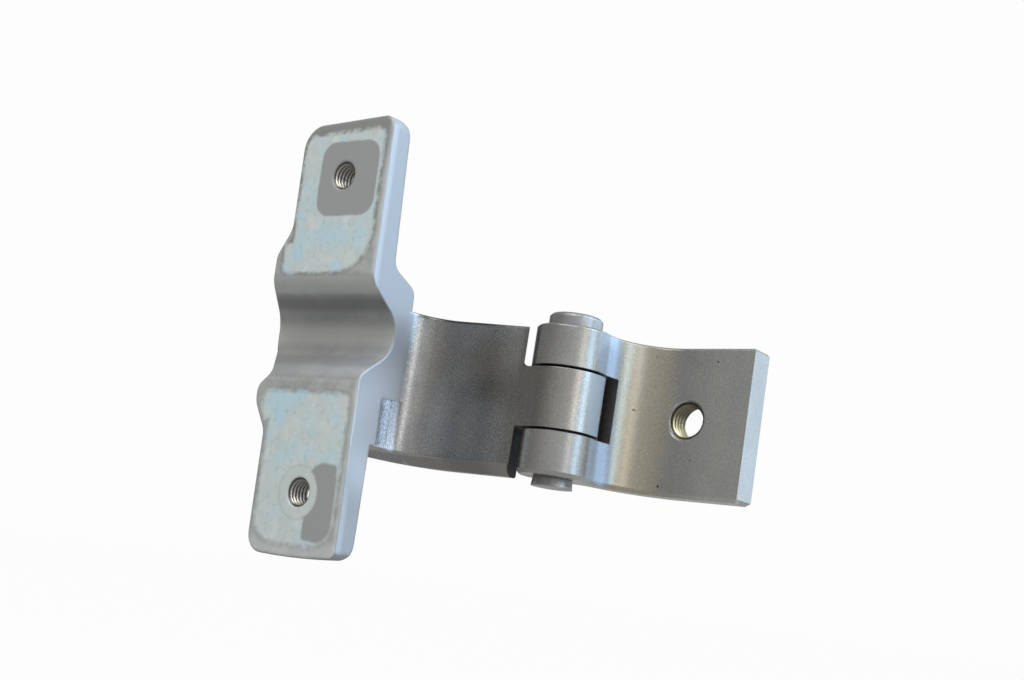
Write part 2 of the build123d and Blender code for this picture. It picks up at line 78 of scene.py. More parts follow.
class Wiring:
    """Short calls that lay out the nodes of one tree."""

    def __init__(self, tree: bpy.types.NodeTree) -> None:
        """Take over a node tree and empty it."""
        self.tree = tree
        tree.nodes.clear()

    def _plug(self, socket: Socket, value: object) -> None:
        """Link or set one input."""
        if isinstance(value, bpy.types.NodeSocket):
            self.tree.links.new(value, socket)
        elif isinstance(value, tuple) and socket.type == "RGBA":
            socket.default_value = (*value, 1.0)
        else:
            socket.default_value = value

    def add(self, kind: str, inputs: dict | tuple = (), **settings: object) -> bpy.types.Node:
        """Node with its inputs linked or set.

        Args:
            kind: Type of the node.
            inputs: What its inputs take, in their order, or by name or number.
            settings: The node's own settings.

        Returns:
            The node.
        """
        node = self.tree.nodes.new(kind)
        for name, value in settings.items():
            setattr(node, name, value)
        pairs = inputs.items() if isinstance(inputs, dict) else enumerate(inputs)
        for key, value in pairs:
            self._plug(node.inputs[key], value)
        return node

    def calc(self, operation: str, *values: object) -> Socket:
        """Result of a Math node's operation on numbers or sockets."""
        return self.add("ShaderNodeMath", values, operation=operation).outputs[0]

    def times(self, *values: object) -> Socket:
        """Product of several numbers."""
        return reduce(lambda first, second: self.calc("MULTIPLY", first, second), values)

    def most(self, *values: object) -> Socket:
        """Largest of several numbers."""
        return reduce(lambda first, second: self.calc("MAXIMUM", first, second), values)

    def least(self, *values: object) -> Socket:
        """Smallest of several numbers."""
        return reduce(lambda first, second: self.calc("MINIMUM", first, second), values)

    def vector(self, operation: str, *values: object) -> Socket:
        """Result of a Vector Math node's operation on tuples or sockets."""
        node = self.add("ShaderNodeVectorMath", values, operation=operation)
        return node.outputs["Value" if operation in ("LENGTH", "DOT_PRODUCT") else "Vector"]


class NodeBench(Wiring):
    """Nodes of one material, which read places on its own object."""

    def __init__(self, name: str) -> None:
        """Start an empty material of this name."""
        self.material = bpy.data.materials.new(name)
        self.material.use_nodes = True
        super().__init__(self.material.node_tree)
        self.place = self.add("ShaderNodeTexCoord").outputs["Object"]
        self.split = self.add("ShaderNodeSeparateXYZ", (self.place,)).outputs

    def along(self, axis: Axis) -> Socket:
        """Place along one axis, in metres."""
        return self.split[axis.value]

    def gap(self, value: Socket, middle_mm: float) -> Socket:
        """Distance in metres between a value and a middle."""
        return self.calc("ABSOLUTE", self.calc("SUBTRACT", value, middle_mm * MM))

    def same(self, number: Socket) -> Socket:
        """Vector with one number in all three places."""
        return self.add("ShaderNodeCombineXYZ", (number, number, number)).outputs[0]

    def stretched(self, scale: Triple) -> Socket:
        """Object coordinates times a scale for each axis."""
        return self.vector("MULTIPLY", self.place, scale)

    def noise(
        self, size_mm: float, detail: float, rough: float = 0.5, scale: Triple | None = None
    ) -> Socket:
        """Cloudy pattern between about 0.25 and 0.75.

        Args:
            size_mm: Size of its largest blobs.
            detail: Layers of finer noise.
            rough: Weight of the finer layers.
            scale: Factors for the coordinates that it reads, none if left out.

        Returns:
            The pattern's socket.
        """
        place = self.place if scale is None else self.stretched(scale)
        inputs = {"Vector": place, "Scale": 1 / (size_mm * MM), "Detail": detail, "Roughness": rough}
        return self.add("ShaderNodeTexNoise", inputs).outputs[0]

    def ease(self, value: Socket, low: float, high: float, start: float = 0.0, end: float = 1.0) -> Socket:
        """Smooth step of a value.

        Args:
            value: The value's socket.
            low: Where the step starts.
            high: Where the step ends.
            start: Result below low.
            end: Result above high.

        Returns:
            The stepped value.
        """
        inputs = (value, low, high, start, end)
        return self.add("ShaderNodeMapRange", inputs, interpolation_type="SMOOTHSTEP").outputs[0]

    def near(self, distance: Socket, low_mm: float, high_mm: float, most: float = 1.0) -> Socket:
        """Mask of what is close: full up to low_mm and 0 from high_mm."""
        return self.ease(distance, low_mm * MM, high_mm * MM, most, 0.0)

    def beyond(self, distance: Socket, low_mm: float, high_mm: float, most: float = 1.0) -> Socket:
        """Mask of what is far: 0 up to low_mm and full from high_mm."""
        return self.ease(distance, low_mm * MM, high_mm * MM, 0.0, most)

    def blend(self, share: object, first: object, second: object) -> Socket:
        """Colour between two, by its share of the second."""
        return self.add("ShaderNodeMix", {0: share, 6: first, 7: second}, data_type="RGBA").outputs[2]

    def area(self, *marks: "Mark") -> Socket:
        """Mask of where all the marks meet."""
        return self.times(*[mark.lay(self) for mark in marks])

    def tint(self, ground: object, *tints: "Tint") -> Socket:
        """Colour with tints laid over it in their order."""
        for tint in tints:
            ground = self.blend(self.times(self.area(*tint.area), tint.share), ground, tint.colour)
        return ground

    def from_centre(self, y_mm: float, z_mm: float) -> Socket:
        """Distance in metres from a line along X at one Y and Z."""
        flat = self.stretched((0.0, 1.0, 1.0))
        return self.vector("LENGTH", self.vector("SUBTRACT", flat, (0.0, y_mm * MM, z_mm * MM)))

    def about_line(self, point_mm: Triple, way: Triple) -> tuple[Socket, Socket]:
        """Place relative to a straight line.

        Args:
            point_mm: A point of the line in millimetres.
            way: The line's direction, one long.

        Returns:
            Distance along the line from that point, and distance from the line, in metres.
        """
        away = self.vector("SUBTRACT", self.place, tuple(part * MM for part in point_mm))
        along = self.vector("DOT_PRODUCT", away, way)
        across = self.vector("SUBTRACT", away, self.vector("MULTIPLY", self.same(along), way))
        return along, self.vector("LENGTH", across)

    def about_hinge_axis(self) -> tuple[Socket, Socket]:
        """Place relative to the leaning hinge axis.

        Returns:
            Height above or below the knuckle's middle, and distance from the axis, in metres.
        """
        lean = math.radians(AXIS_LEAN_DEG)
        height, away = self.about_line(KNUCKLE_MIDDLE_MM, (math.sin(lean), 0.0, math.cos(lean)))
        return self.calc("ABSOLUTE", height), away

    def _bumped(self, height: Socket, depth: object, normal: Socket | None) -> Socket:
        """Normal of a relief laid over another normal."""
        inputs = {"Strength": 1.0, "Distance": depth, "Height": height}
        if normal is not None:
            inputs["Normal"] = normal
        return self.add("ShaderNodeBump", inputs).outputs[0]

    def finish(
        self,
        base_color: Socket,
        metallic: object,
        roughness: Socket,
        bump: Socket,
        depth: object,
        worn_edge: object = None,
        swell: Socket | None = None,
        rise: object = 0.0,
    ) -> bpy.types.Material:
        """Close the material with its surface.

        Args:
            base_color: Its colour.
            metallic: How much it is like bare metal.
            roughness: Its roughness.
            bump: Height of its grain.
            depth: Depth of the grain in metres.
            worn_edge: Rounding of the edges in metres, none if left out.
            swell: Height of a broad soft slope, none if left out.
            rise: How far that slope rises, in metres.

        Returns:
            The material.
        """
        normal = None
        if worn_edge is not None:
            normal = self.add("ShaderNodeBevel", {"Radius": worn_edge}, samples=EDGE_SAMPLES).outputs[0]
        if swell is not None:
            normal = self._bumped(swell, rise, normal)
        inputs = {
            "Base Color": base_color,
            "Metallic": metallic,
            "Roughness": roughness,
            "Normal": self._bumped(bump, depth, normal),
        }
        surface = self.add("ShaderNodeBsdfPrincipled", inputs)
        self.add("ShaderNodeOutputMaterial", (surface.outputs[0],))
        return self.material


class Mark:
    """Anything that can be laid out as a mask on a material."""

    def lay(self, bench: NodeBench) -> Socket:
        """Mask laid out on the bench."""
        raise NotImplementedError


@dataclass(frozen=True)
class Fade(Mark):
    """Soft step along one axis, from its start value to its end value."""

    axis: Axis
    low_mm: float
    high_mm: float
    start: float = 0.0
    end: float = 1.0

    def lay(self, bench: NodeBench) -> Socket:
        """Mask of the step."""
        return bench.ease(bench.along(self.axis), self.low_mm * MM, self.high_mm * MM, self.start, self.end)


@dataclass(frozen=True)
class Band(Mark):
    """Soft band around one place on an axis: full in its core, gone beyond its reach."""

    axis: Axis
    middle_mm: float
    core_mm: float
    reach_mm: float
    most: float = 1.0

    def lay(self, bench: NodeBench) -> Socket:
        """Mask of the band."""
        off = bench.gap(bench.along(self.axis), self.middle_mm)
        return bench.near(off, self.core_mm, self.reach_mm, self.most)


@dataclass(frozen=True)
class Clouds(Mark):
    """Noise that goes from its start value at a low level to its end value at a high one."""

    size_mm: float
    detail: float
    rough: float
    low: float
    high: float
    start: float = 0.0
    end: float = 1.0
    scale: Triple | None = None

    def lay(self, bench: NodeBench) -> Socket:
        """Mask of the clouds."""
        pattern = bench.noise(self.size_mm, self.detail, self.rough, self.scale)
        return bench.ease(pattern, self.low, self.high, self.start, self.end)


Area = tuple[Mark, ...]


@dataclass(frozen=True)
class Tint:
    """Colour laid softly over the area where its marks meet."""

    colour: Colour
    area: Area
    share: float = 1.0


@dataclass(frozen=True)
class RoundedBox:
    """Rounded rectangle on a face square to X, in millimetres."""

    low_y: float
    high_y: float
    low_z: float
    high_z: float
    radius: float
    fall: float = 0.0

    def distance(self, bench: NodeBench) -> Socket:
        """Signed distance from the rectangle; its top and bottom fall by fall for each unit of Y.

        Args:
            bench: The material's bench.

        Returns:
            The distance in metres, below 0 inside.
        """
        centre = (0.0, (self.low_y + self.high_y) / 2 * MM, (self.low_z + self.high_z) / 2 * MM)
        half_y, half_z = (self.high_y - self.low_y) / 2, (self.high_z - self.low_z) / 2
        half = (1.0, (half_y - self.radius) * MM, (half_z - self.radius) * MM)
        flat = bench.stretched((0.0, 1.0, 1.0))
        if self.fall:
            shift = bench.vector("MULTIPLY", (0.0, 0.0, self.fall), bench.same(bench.along(Y)))
            flat = bench.vector("ADD", flat, shift)
        away = bench.vector("ABSOLUTE", bench.vector("SUBTRACT", flat, centre))
        outside = bench.vector("MAXIMUM", bench.vector("SUBTRACT", away, half), (0.0, 0.0, 0.0))
        return bench.calc("SUBTRACT", bench.vector("LENGTH", outside), self.radius * MM)


@dataclass(frozen=True)
class FlakeCoat:
    """Silver-grey coat with fine bright flakes, as sprayed on the bracket."""

    tone: Colour = from_screen(152, 152, 150)
    shade: Colour = from_screen(140, 141, 141)
    flake: Colour = from_screen(196, 197, 196)
    dark_flake: Colour = from_screen(112, 112, 112)
    clouds: Clouds = Clouds(7.0, 3.0, 0.6, 0.32, 0.68)
    bright: Clouds = Clouds(0.34, 1.0, 0.5, 0.54, 0.76, 0.0, 0.5)
    dull: Clouds = Clouds(0.34, 1.0, 0.5, 0.26, 0.46, 0.4, 0.0)
    gloss: Clouds = Clouds(0.578, 1.0, 0.5, *NOISE_LEVELS, 0.22, 0.32)
    fine: Triple = (0.34, 2.0, 0.6)
    peel: Span = (1.6, 2.0)
    peel_share: float = 0.6

    def colour(self, bench: NodeBench, lively: Socket) -> Socket:
        """Colour of the coat.

        Args:
            bench: The material's bench.
            lively: How strongly the flakes show.

        Returns:
            The colour's socket.
        """
        ground = bench.blend(self.clouds.lay(bench), self.shade, self.tone)
        ground = bench.blend(bench.times(self.bright.lay(bench), lively), ground, self.flake)
        return bench.blend(bench.times(self.dull.lay(bench), lively), ground, self.dark_flake)

    def relief(self, bench: NodeBench) -> Socket:
        """Height of the coat's grain and its orange peel."""
        return bench.calc("MULTIPLY_ADD", bench.noise(*self.peel), self.peel_share, bench.noise(*self.fine))


@dataclass(frozen=True)
class LandFinish:
    """The pad's mounting face: sprayed margin, dirty border, primer lands and washer prints."""

    margin: Colour = from_screen(172, 175, 172)
    margin_dark: Colour = from_screen(132, 132, 129)
    margin_edge: Colour = from_screen(204, 207, 206)
    dirt: Colour = from_screen(116, 111, 105)
    primer: Colour = from_screen(194, 204, 202)
    primer_worn: Colour = from_screen(162, 163, 158)
    print_grey: Colour = from_screen(150, 151, 150)
    ring: Colour = from_screen(194, 200, 197)
    lands: tuple[RoundedBox, ...] = (
        RoundedBox(-14.4, 16.9, 16.2, 58.2, 12.0, 0.054),
        RoundedBox(-14.4, 16.9, 32.0, 58.4, 3.6, 0.054),
        RoundedBox(0.0, 17.0, 16.0, 42.0, 2.5),
        RoundedBox(4.0, 19.8, 16.0, 26.5, 3.0),
        RoundedBox(-14.7, 16.2, -60.0, -16.6, 8.0),
        RoundedBox(-14.7, 16.2, -40.0, -16.6, 2.0),
        RoundedBox(4.0, 19.6, -26.0, -16.6, 3.5),
    )
    square_print: RoundedBox = RoundedBox(-12.7, 9.2, 33.2, 55.0, 5.0)
    sector_print: tuple[RoundedBox, ...] = (
        RoundedBox(-13.6, -3.2, -58.2, -36.4, 5.1),
        RoundedBox(-9.0, -3.2, -58.0, -45.0, 1.6),
        RoundedBox(-13.2, -6.0, -50.0, -36.6, 1.6),
    )
    sector_centre_mm: Span = (0.4, -45.2)
    sector_inner_mm: float = 7.4
    square_rim_mm: Span = (-0.4, 0.4)
    sector_rim_mm: Span = (-0.5, 0.5)
    ring_centre_mm: Span = (0.0, -45.0)
    ring_area: Triple = (6.4, 8.0, 0.5)
    ring_mm: float = 7.5
    ring_line: Triple = (0.1, 0.7, 0.3)
    print_share: float = 0.96
    wander: Triple = (2.6, 3.0, 0.6)
    wander_mm: float = 1.3
    square_wander: float = 0.35
    round_wander: float = 0.6
    land_rim_mm: Span = (-0.6, 0.6)
    dirt_inside_mm: float = 0.3
    dirt_line: Span = (0.1, 1.3)
    margin_patches: Clouds = Clouds(7.0, 4.0, 0.65, 0.36, 0.62, 0.0, 0.5)
    upper_margin: Fade = Fade(Z, 40.0, 57.0, 0.0, 0.85)
    lower_margin: Fade = Fade(Z, -59.5, -56.0, 0.5, 0.0)
    near_margin: Fade = Fade(Y, -15.8, -14.4, 0.3, 0.0)
    dirt_patches: Clouds = Clouds(3.0, 3.0, 0.6, 0.34, 0.62, 0.1, 0.75)
    dirt_share: Fade = Fade(Z, -30.0, 12.0, 0.6, 1.0)
    primer_tones: tuple[Tint, ...] = (
        Tint(from_screen(214, 217, 213), (Clouds(6.0, 4.0, 0.65, 0.40, 0.70, 0.0, 0.7),)),
        Tint(
            from_screen(180, 211, 222),
            (
                Clouds(8.0, 2.0, 0.5, 0.40, 0.66),
                Fade(Z, -50.0, -22.0, 0.25, 0.85),
                Fade(Z, 26.0, 40.0, 1.0, 0.5),
            ),
        ),
        Tint(primer_worn, (Clouds(2.0, 5.0, 0.7, 0.5, 0.74, 0.0, 0.5),)),
    )

    def _ragged(self, bench: NodeBench, distance: Socket, share: float = 1.0) -> Socket:
        """Signed distance from an area with an uneven sprayed border."""
        wander = bench.calc("SUBTRACT", bench.noise(*self.wander), 0.5)
        return bench.calc("MULTIPLY_ADD", wander, self.wander_mm * share * MM, distance)

    def _prints(self, bench: NodeBench) -> Socket:
        """Mask of the grey prints that the washers left."""
        square = self._ragged(bench, self.square_print.distance(bench), self.square_wander)
        sector = bench.least(*[box.distance(bench) for box in self.sector_print])
        off_centre = bench.from_centre(*self.sector_centre_mm)
        beside_ring = bench.calc("SUBTRACT", self.sector_inner_mm * MM, off_centre)
        sector = self._ragged(bench, bench.most(sector, beside_ring), self.round_wander)
        return bench.most(bench.near(square, *self.square_rim_mm), bench.near(sector, *self.sector_rim_mm))

    def _primer(self, bench: NodeBench) -> Socket:
        """Colour of the bare primer, cooler in soft clouds and worn in small spots."""
        primer = bench.tint(self.primer, *self.primer_tones)
        off_centre = bench.from_centre(*self.ring_centre_mm)
        primer = bench.blend(bench.near(off_centre, *self.ring_area), primer, self.ring)
        outline = bench.gap(self._ragged(bench, off_centre, self.round_wander), self.ring_mm)
        return bench.blend(bench.near(outline, *self.ring_line), primer, self.primer_worn)

    def colour(self, bench: NodeBench) -> Socket:
        """Colour of the mounting face.

        Args:
            bench: The material's bench.

        Returns:
            The colour's socket.
        """
        dark = bench.most(self.margin_patches.lay(bench), self.upper_margin.lay(bench))
        edges = [Tint(self.margin_edge, (mark,)) for mark in (self.lower_margin, self.near_margin)]
        margin = bench.tint(bench.blend(dark, self.margin, self.margin_dark), *edges)
        lands = self._ragged(bench, bench.least(*[box.distance(bench) for box in self.lands]))
        border = bench.near(bench.gap(lands, -self.dirt_inside_mm), *self.dirt_line)
        border = bench.times(border, bench.area(self.dirt_patches, self.dirt_share))
        land = bench.blend(bench.near(lands, *self.land_rim_mm), margin, self._primer(bench))
        prints = bench.times(self._prints(bench), self.print_share)
        return bench.blend(prints, bench.blend(border, land, self.dirt), self.print_grey)


@dataclass(frozen=True)
class BracketFinish:
    """The bracket's coat and mounting face, with painted light and shade on its trough, near side, arm, foot
    and knuckle end, and grease with painted shade beside the ears.
    """

    coat: FlakeCoat = FlakeCoat()
    face: LandFinish = LandFinish()
    on_face: Fade = Fade(X, 0.02, 0.3, 1.0, 0.0)
    trough: Area = (Fade(Y, -16.45, -16.1), Fade(X, 13.0, 13.6, 1.0, 0.0))
    trough_painted_shade: Colour = from_screen(104, 104, 102)
    trough_lit: Colour = from_screen(184, 185, 181)
    # Painted shade in bands under the upper lip and low in the trough, and painted light on the lower wall
    # and on the lip.
    trough_painted_shading: tuple[Tint, ...] = (
        Tint(trough_painted_shade, (Band(Z, 9.3, 0.4, 2.6), *trough), 0.65),
        Tint(trough_lit, (Band(Z, 1.2, 0.8, 4.6), *trough), 0.7),
        Tint(trough_lit, (Band(Z, 14.0, 1.6, 3.0), *trough), 0.7),
        Tint(trough_painted_shade, (Band(Z, -7.2, 0.6, 2.8), *trough), 0.4),
    )
    side: Colour = from_screen(139, 141, 143)
    # Painted light on the pad's near side beside the arm, and a painted highlight along its front rim.
    side_painted_light: Colour = from_screen(188, 192, 196)
    near_side: Area = (Fade(Y, -17.4, -17.0), Fade(Y, -16.48, -16.3, 1.0, 0.0))
    painted_light_middle_mm: Triple = (8.0, -16.5, -24.0)
    painted_light_reach_mm: Span = (6.0, 25.0)
    front_rim_highlight: Fade = Fade(X, 1.6, 3.0, 0.3, 0.0)
    arm_painted_shade: Colour = from_screen(88, 85, 82)
    # A warmer tone beyond the arm's root, then painted shade on the arm's lower middle and along its
    # underside.
    arm_tone_and_painted_shade: tuple[Tint, ...] = (
        Tint(from_screen(152, 144, 134), (Fade(Y, -26.0, -19.0, 0.5, 0.0),)),
        Tint(arm_painted_shade, (Band(Y, -40.0, 4.0, 14.0), Fade(Z, -13.0, -5.0, 1.0, 0.15)), 0.62),
        Tint(arm_painted_shade, (Fade(Z, -31.3, -30.7, 0.4, 0.0),)),
    )
    # Painted shade along the arm's top ledge.
    ledge: Area = (Fade(Y, -17.6, -17.0, 1.0, 0.0), Fade(Y, -50.0, -38.0))
    ledge_slope: float = -0.0747
    ledge_rise: Triple = (9.3, 9.8, 0.85)
    ledge_painted_shade: Colour = from_screen(70, 70, 70)
    # Painted light at the arm's far upper corner.
    arm_lit: Tint = Tint(
        from_screen(200, 199, 195),
        (Fade(Y, -54.0, -44.0, 0.55, 0.0), Fade(Z, -12.0, -1.0), Fade(Y, -58.0, -55.0)),
    )
    # Painted reflection: a pale blue-grey strip on the knuckle's far end.
    knuckle_end_painted_reflection: Tint = Tint(
        from_screen(141, 147, 150),
        (Fade(Y, -76.2, -75.4, 1.0, 0.0), Fade(X, 22.9, 24.6)),
    )
    root: Area = (
        Fade(X, 9.6, 10.6),
        Fade(Y, -22.0, -19.5),
        Fade(X, 21.0, 25.0, 1.0, 0.0),
        Fade(Z, -17.0, -15.8, 1.0, 0.0),
    )
    # Painted reflection: a pale blue patch on the arm's foot below the bulge.
    foot: Area = (Fade(X, 16.6, 18.0, 0.75, 0.0), Fade(Y, -16.4, -15.9, 1.0, 0.0))
    foot_painted_reflection: Colour = from_screen(222, 237, 255)
    pad_edge: Fade = Fade(Y, -17.2, -16.0)
    pad_edge_behind: Fade = Fade(Y, -34.0, -14.0)
    behind: Fade = Fade(X, 26.0, 30.0)
    swell: Fade = Fade(X, 9.4, 17.6)
    swell_mm: float = 1.8
    # Grease and painted shade on the faces around the ears, beside the knuckle.
    grease_and_painted_shade: Colour = from_screen(36, 33, 31)
    knuckle_half_mm: Span = (7.9, 8.1)
    ear_reach_mm: Span = (12.2, 12.7)
    grain_mm: float = 0.035
    smooth_grain_mm: float = 0.008
    edge_mm: float = 0.25
    pad_edge_mm: float = 1.2
    metallic: float = 0.92
    matte_metallic: float = 0.12
    matte_rough: float = 0.24
    greased_rough: float = 0.25

    def _side(self, bench: NodeBench, coat: Socket) -> Socket:
        """Coat of the pad's near side, smooth, with painted light beside the arm and a painted highlight
        along its front edge.
        """
        near = bench.area(*self.near_side)
        coat = bench.blend(near, coat, self.side)
        middle = tuple(part * MM for part in self.painted_light_middle_mm)
        away = bench.vector("LENGTH", bench.vector("SUBTRACT", bench.place, middle))
        painted_light = bench.most(bench.near(away, *self.painted_light_reach_mm), self.front_rim_highlight.lay(bench))
        return bench.blend(bench.times(painted_light, near), coat, self.side_painted_light)

    def _arm(self, bench: NodeBench, coat: Socket) -> Socket:
        """Coat of the arm: a warmer tone beyond its root, painted shade low down, along its underside and on
        its top ledge, and painted light at its far upper corner.
        """
        coat = bench.tint(coat, *self.arm_tone_and_painted_shade)
        slanted = bench.calc("MULTIPLY_ADD", bench.along(Y), self.ledge_slope, bench.along(Z))
        ledge = bench.times(bench.beyond(slanted, *self.ledge_rise), bench.area(*self.ledge))
        return bench.tint(bench.blend(ledge, coat, self.ledge_painted_shade), self.arm_lit, self.knuckle_end_painted_reflection)

    def _pad(self, bench: NodeBench, root: Socket) -> Socket:
        """Mask of the smooth pad: crisp beside the arm's root, soft behind it, without the root itself."""
        crisp = self.pad_edge.lay(bench)
        softer = bench.calc("SUBTRACT", self.pad_edge_behind.lay(bench), crisp)
        pad = bench.calc("MULTIPLY_ADD", softer, self.behind.lay(bench), crisp)
        return bench.times(pad, bench.calc("SUBTRACT", 1.0, root))

    def build(self) -> bpy.types.Material:
        """Make the material.

        Returns:
            The bracket's material.
        """
        bench = NodeBench("bracket_coat")
        front = self.on_face.lay(bench)
        root = bench.area(*self.root)
        pad = self._pad(bench, root)
        height, away = bench.about_hinge_axis()
        beside = bench.beyond(height, *self.knuckle_half_mm)
        greased_and_shaded = bench.times(beside, bench.near(away, *self.ear_reach_mm))
        coat = self.coat.colour(bench, bench.calc("SUBTRACT", 1.0, pad))
        # Painted light and shade on the trough, then on the arm.
        coat = self._arm(bench, bench.tint(coat, *self.trough_painted_shading))
        foot = bench.times(root, bench.area(*self.foot))
        # Painted light on the pad's near side and a painted reflection on the arm's foot.
        coat = bench.blend(foot, bench.blend(root, self._side(bench, coat), coat), self.foot_painted_reflection)
        # Grease and painted shade beside the ears.
        coat = bench.blend(greased_and_shaded, coat, self.grease_and_painted_shade)
        # Area of the painted reflection on the knuckle's end, kept matte like the pad.
        end = bench.area(*self.knuckle_end_painted_reflection.area)
        matte = bench.most(front, pad, greased_and_shaded, end)
        gloss = bench.calc("MULTIPLY_ADD", matte, self.matte_rough, self.coat.gloss.lay(bench))
        return bench.finish(
            base_color=bench.blend(front, coat, self.face.colour(bench)),
            metallic=bench.ease(matte, 0.0, 1.0, self.metallic, self.matte_metallic),
            roughness=bench.calc("MULTIPLY_ADD", greased_and_shaded, self.greased_rough, gloss),
            bump=self.coat.relief(bench),
            depth=bench.ease(bench.most(pad, end), 0.0, 1.0, self.grain_mm * MM, self.smooth_grain_mm * MM),
            swell=self.swell.lay(bench),
            rise=bench.times(root, self.swell_mm * MM),
            worn_edge=bench.ease(pad, 0.0, 1.0, self.edge_mm * MM, self.pad_edge_mm * MM),
        )


@dataclass(frozen=True)
class LeafFinish:
    """Warm grey coat of the leaf with faint yellow stains and small pits."""

    tone: Colour = from_screen(149, 147, 142)
    cool: Colour = from_screen(140, 139, 136)
    clouds: Clouds = Clouds(9.0, 3.0, 0.6, 0.34, 0.68)
    runs: Tint = Tint(
        from_screen(154, 148, 133),
        (Clouds(4.5, 3.0, 0.55, 0.46, 0.72, 0.0, 0.4, (1.0, 1.0, 0.12)),),
    )
    # Painted reflection on the leaf's neck: a cool band with a lighter blue streak, kept matte.
    neck_band: Area = (
        Fade(Y, -79.0, -77.8),
        Fade(Y, -76.4, -75.4, 1.0, 0.0),
        Fade(X, 24.4, 26.4),
        Fade(X, 34.8, 37.0, 1.0, 0.0),
    )
    neck_painted_reflection: Colour = from_screen(136, 143, 150)
    streak_painted_reflection: Colour = from_screen(166, 182, 202)
    painted_streak: Band = Band(X, 32.2, 1.0, 3.0, 0.9)
    stains_and_painted_shading: tuple[Tint, ...] = (
        # Painted tone on the neck's bend that turns its blue reflection beige.
        Tint(from_screen(150, 134, 110), (Band(X, 38.4, 1.4, 3.4, 0.8),)),
        # Paler on the front face towards the far end.
        Tint(
            from_screen(184, 184, 180),
            (
                Fade(Y, -104.0, -88.0, 0.45, 0.0),
                Fade(X, 46.4, 46.9, 1.0, 0.0),
                Fade(Y, -111.1, -110.6),
            ),
        ),
        Tint(from_screen(146, 139, 120), (Band(Y, -83.5, 1.5, 6.5, 0.8),)),
        # Painted shade on the ears' sides that face the arm.
        Tint(from_screen(62, 59, 56), (Fade(Y, -65.0, -60.5, 0.0, 0.7),)),
        Tint(from_screen(190, 187, 180), (Clouds(0.27, 3.0, 0.7, 0.5, 0.74, 0.0, 0.35),)),
        Tint(from_screen(110, 107, 101), (Clouds(0.27, 3.0, 0.7, 0.28, 0.5, 0.5, 0.0),)),
    )
    # Colour of the pits, also laid as grease and painted shade on the slot walls.
    pit_grease_and_shade: Colour = from_screen(52, 47, 42)
    pits_mm: tuple[Triple, ...] = (
        (-79.6, -12.5, 0.26),
        (-82.8, 2.6, 0.18),
        (-87.5, -32.0, 0.34),
        (-100.4, 2.2, 0.25),
        (-96.0, -24.5, 0.2),
    )
    pit_rim: Span = (0.6, 1.4)
    slot_half_mm: Span = (8.7, 8.9)
    slot_reach_mm: Span = (13.5, 13.8)
    gloss: Clouds = Clouds(0.5, 2.0, 0.5, *NOISE_LEVELS, 0.2, 0.3)
    fine: Triple = (0.27, 2.0, 0.6)
    peel: Span = (1.4, 2.0)
    peel_share: float = 0.7
    depth_mm: float = 0.03
    edge_mm: float = 0.35
    metallic: float = 0.64
    matte_metallic: float = 0.12

    def _pits(self, bench: NodeBench) -> Socket:
        """Mask of the few small pits, each given by its Y, Z and radius."""
        spots = []
        for y, z, radius in self.pits_mm:
            inner, outer = (radius * share for share in self.pit_rim)
            spots.append(bench.near(bench.from_centre(y, z), inner, outer))
        return bench.most(*spots)

    def _ground(self, bench: NodeBench, neck_band: Socket) -> Socket:
        """Colour of the coat with its clouds, run marks, painted reflection on the neck, stains, painted
        shade and flakes.
        """
        ground = bench.blend(self.clouds.lay(bench), self.cool, self.tone)
        ground = bench.tint(ground, self.runs)
        neck_painted_reflection = bench.blend(self.painted_streak.lay(bench), self.neck_painted_reflection, self.streak_painted_reflection)
        return bench.tint(bench.blend(neck_band, ground, neck_painted_reflection), *self.stains_and_painted_shading)

    def build(self) -> bpy.types.Material:
        """Make the material.

        Returns:
            The leaf's material.
        """
        bench = NodeBench("leaf_coat")
        pits = self._pits(bench)
        neck_band = bench.area(*self.neck_band)
        height, away = bench.about_hinge_axis()
        # Grease and painted shade on the slot walls around the knuckle.
        in_slot = bench.near(height, *self.slot_half_mm)
        greased_and_shaded = bench.times(in_slot, bench.near(away, *self.slot_reach_mm))
        peel, fine = bench.noise(*self.peel), bench.noise(*self.fine)
        relief = bench.calc("MULTIPLY_ADD", peel, self.peel_share, fine)
        return bench.finish(
            base_color=bench.blend(bench.most(pits, greased_and_shaded), self._ground(bench, neck_band), self.pit_grease_and_shade),
            metallic=bench.ease(bench.most(greased_and_shaded, neck_band), 0.0, 1.0, self.metallic, self.matte_metallic),
            roughness=self.gloss.lay(bench),
            bump=bench.calc("SUBTRACT", relief, pits),
            depth=self.depth_mm * MM,
            worn_edge=self.edge_mm * MM,
        )


@dataclass(frozen=True)
class PlainMetal:
    """A machined or plated metal without a coat."""

    name: str
    tone: Colour
    shade: Colour
    gloss: Span
    metallic: float = 0.6
    worn_edge_mm: float = 0.3
    patches: Clouds = Clouds(1.2, 4.0, 0.65, 0.35, 0.65)
    grain: Triple = (0.4, 3.0, 0.6)
    depth_mm: float = 0.015

    def build(self) -> bpy.types.Material:
        """Make the material.

        Returns:
            The metal's material.
        """
        bench = NodeBench(self.name)
        grain = bench.noise(*self.grain)
        return bench.finish(
            base_color=bench.blend(self.patches.lay(bench), self.shade, self.tone),
            metallic=self.metallic,
            roughness=bench.ease(grain, *NOISE_LEVELS, *self.gloss),
            bump=grain,
            depth=self.depth_mm * MM,
            worn_edge=self.worn_edge_mm * MM,
        )


@dataclass(frozen=True)
class ThreadCut:
    """Sizes of one kind of thread."""

    wall_radius_mm: float
    pitch_mm: float
    depth_mm: float
    length_mm: float
    lead_in_mm: float = 0.5
    skin_mm: float = 0.02
    steps_in_turn: int = 14
    steps_around: int = 73


